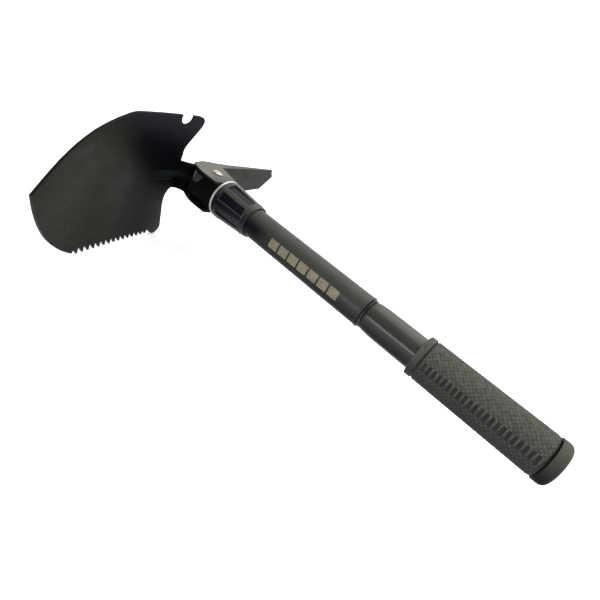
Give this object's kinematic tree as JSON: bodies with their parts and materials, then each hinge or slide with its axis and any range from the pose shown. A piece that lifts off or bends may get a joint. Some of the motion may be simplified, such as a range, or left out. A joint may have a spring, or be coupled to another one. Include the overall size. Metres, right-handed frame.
{
  "type": "folding camp shovel",
  "caption": "Compact folding shovel with a dished blade, saw edge, bottle opener, folding pick and a tube handle that unscrews.",
  "frame": {"origin": "centre of the flat butt face of the end cap, on the handle's axis", "axes": "+X along the handle from the butt to the head, +Y the way the blade points when it is set square, +Z the bottle-opener side, up"},
  "size_m": [0.2957, 0.237, 0.0866],
  "materials": {
    "blade_paint": "satin black baked coating with a faint olive cast",
    "pick_paint": "satin dark grey coating that looks lighter on its flat top",
    "block_paint": "black coating",
    "tube_paint": "smooth dark olive-grey coating with a soft shine",
    "bright_steel": "bright plated steel",
    "zinc_steel": "dull zinc-plated steel",
    "nut_plastic": "black moulded plastic with a soft sheen",
    "inner_plastic": "black moulded plastic",
    "grip_rubber": "matte dark olive-grey rubber with a raised texture",
    "seal_rubber": "black seal rubber"
  },
  "bodies": {
    "head_frame": {"upper_tube": "tube_paint", "joint_socket": "zinc_steel", "threaded_sleeve": "zinc_steel", "cross_pin": "zinc_steel", "pivot_block": "block_paint", "pivot_rivet": "bright_steel", "rivet_washer": "zinc_steel"},
    "blade_arm": {"blade": "blade_paint"},
    "pick_arm": {"pick": "pick_paint"},
    "ring_slide": {"lock_ring": "bright_steel"},
    "nut_turner": {"lock_nut": "nut_plastic", "nut_insert": "zinc_steel"},
    "handle_slide": {"joint_washer": "seal_rubber"},
    "lower_handle": {"lower_tube": "tube_paint", "grip_sleeve": "grip_rubber", "cap_socket": "inner_plastic", "joint_stud": "zinc_steel"},
    "cap_slide": {"cap_washer": "seal_rubber"},
    "cap_turner": {"end_cap": "grip_rubber", "cap_plug": "inner_plastic"}
  },
  "joints": [
    {"name": "blade_fold", "type": "hinge", "parent": "head_frame", "child": "blade_arm", "pos_m": [0.2639, 0, 0], "axis": [0, 0, 1], "range_deg": [-90, 67]},
    {"name": "pick_fold", "type": "hinge", "parent": "head_frame", "child": "pick_arm", "pos_m": [0.2639, 0, 0], "axis": [0, 0, 1], "range_deg": [-86, 0]},
    {"name": "ring_travel", "type": "slide", "parent": "head_frame", "child": "ring_slide", "axis": [-1, 0, 0], "range_m": [0, 0.0075]},
    {"name": "nut_turn", "type": "hinge", "parent": "ring_slide", "child": "nut_turner", "pos_m": [0.2331, 0, 0], "axis": [-1, 0, 0], "range_deg": [0, 901]},
    {"name": "handle_travel", "type": "slide", "parent": "head_frame", "child": "handle_slide", "axis": [-1, 0, 0], "range_m": [0, 0.012]},
    {"name": "handle_turn", "type": "hinge", "parent": "handle_slide", "child": "lower_handle", "pos_m": [0.06, 0, 0], "axis": [-1, 0, 0], "range_deg": [0, 1441]},
    {"name": "cap_travel", "type": "slide", "parent": "lower_handle", "child": "cap_slide", "axis": [-1, 0, 0], "range_m": [0, 0.01]},
    {"name": "cap_turn", "type": "hinge", "parent": "cap_slide", "child": "cap_turner", "pos_m": [0.004, 0, 0], "axis": [-1, 0, 0], "range_deg": [0, 1441]}
  ],
  "couplings": [
    {"joint": "nut_turn", "follows": "ring_travel", "rad_per_m": 2094.4},
    {"joint": "handle_turn", "follows": "handle_travel", "rad_per_m": 2094.4},
    {"joint": "cap_turn", "follows": "cap_travel", "rad_per_m": 2513.3}
  ]
}
